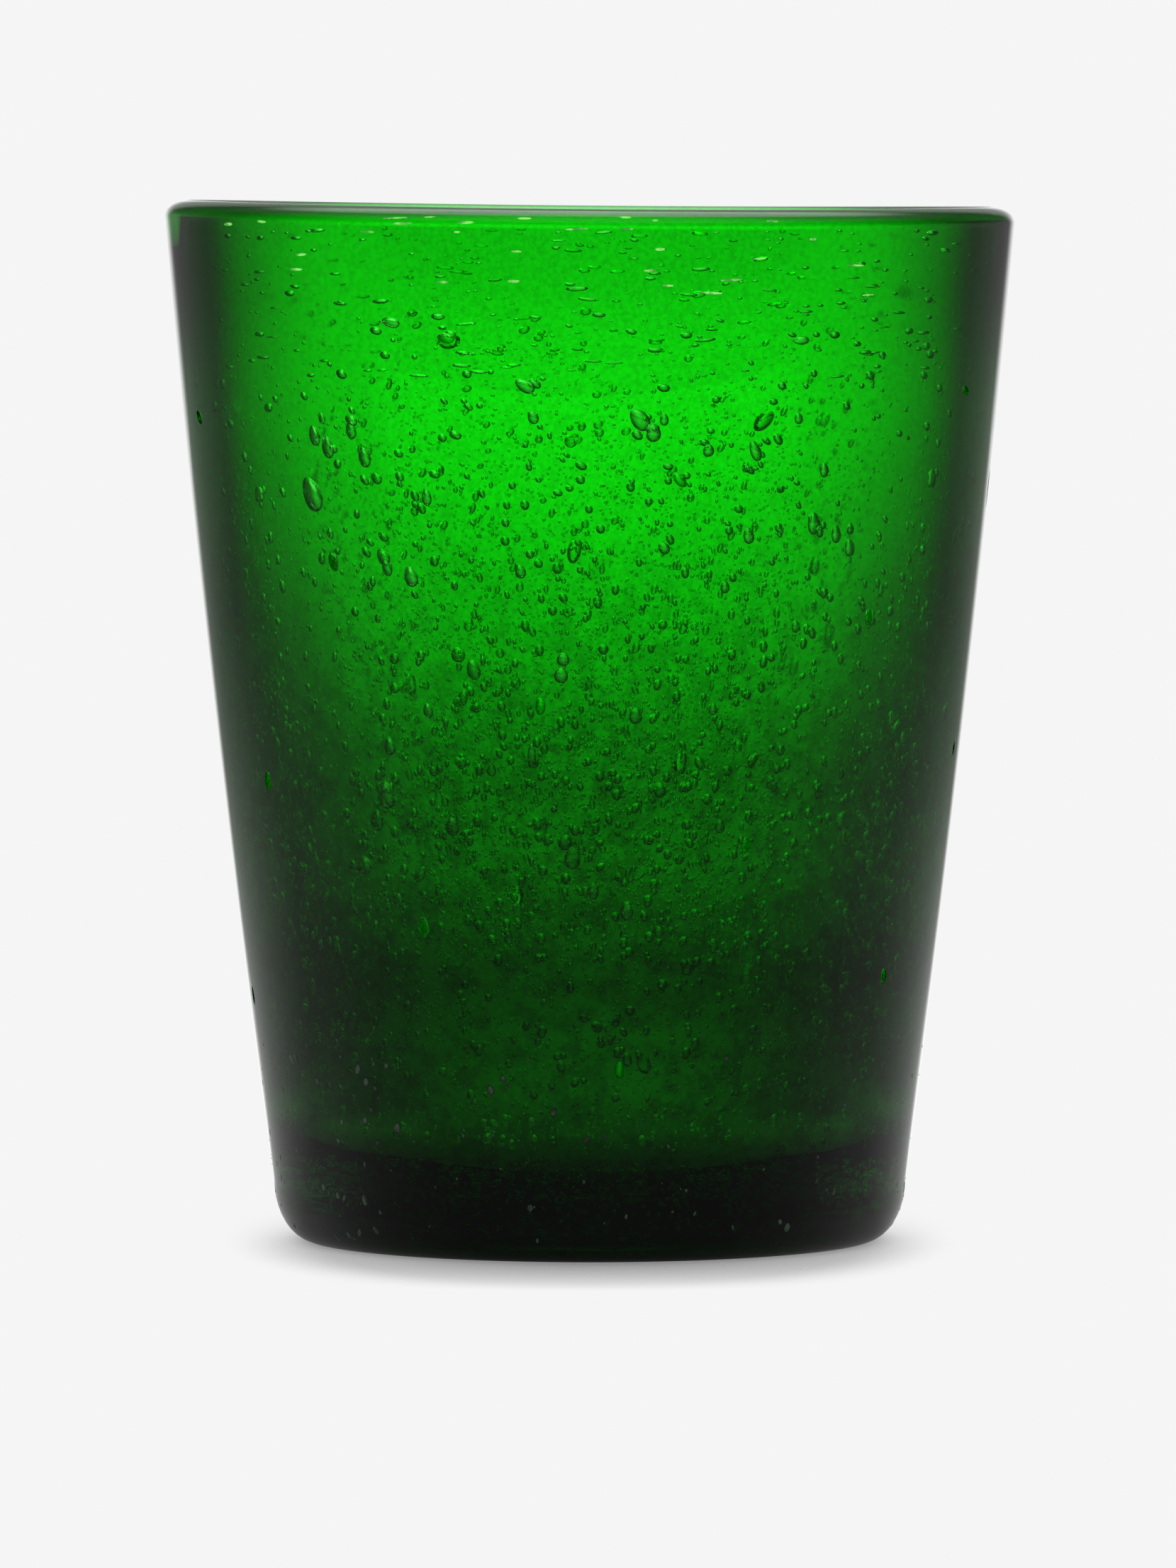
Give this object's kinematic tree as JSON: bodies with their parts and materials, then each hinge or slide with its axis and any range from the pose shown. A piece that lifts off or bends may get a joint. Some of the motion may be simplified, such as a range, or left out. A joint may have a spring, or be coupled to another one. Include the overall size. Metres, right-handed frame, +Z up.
{
  "type": "drinking glass",
  "caption": "Thick-walled tapered tumbler blown in one piece of deep green seeded glass, with a rounded lip and a heavy base, for cold drinks.",
  "frame": {"origin": "centre of the foot, on the surface that the glass stands on", "axes": "+Z up along the glass's axis, -Y towards the viewer of the picture, +X to that viewer's right; the lip is highest on -X"},
  "size_m": [0.0822, 0.0822, 0.1008],
  "materials": {
    "green_glass": "clear deep green glass with trapped air bubbles, fire-polished skin"
  },
  "bodies": {
    "root": {"glass_body": "green_glass"}
  },
  "joints": []
}
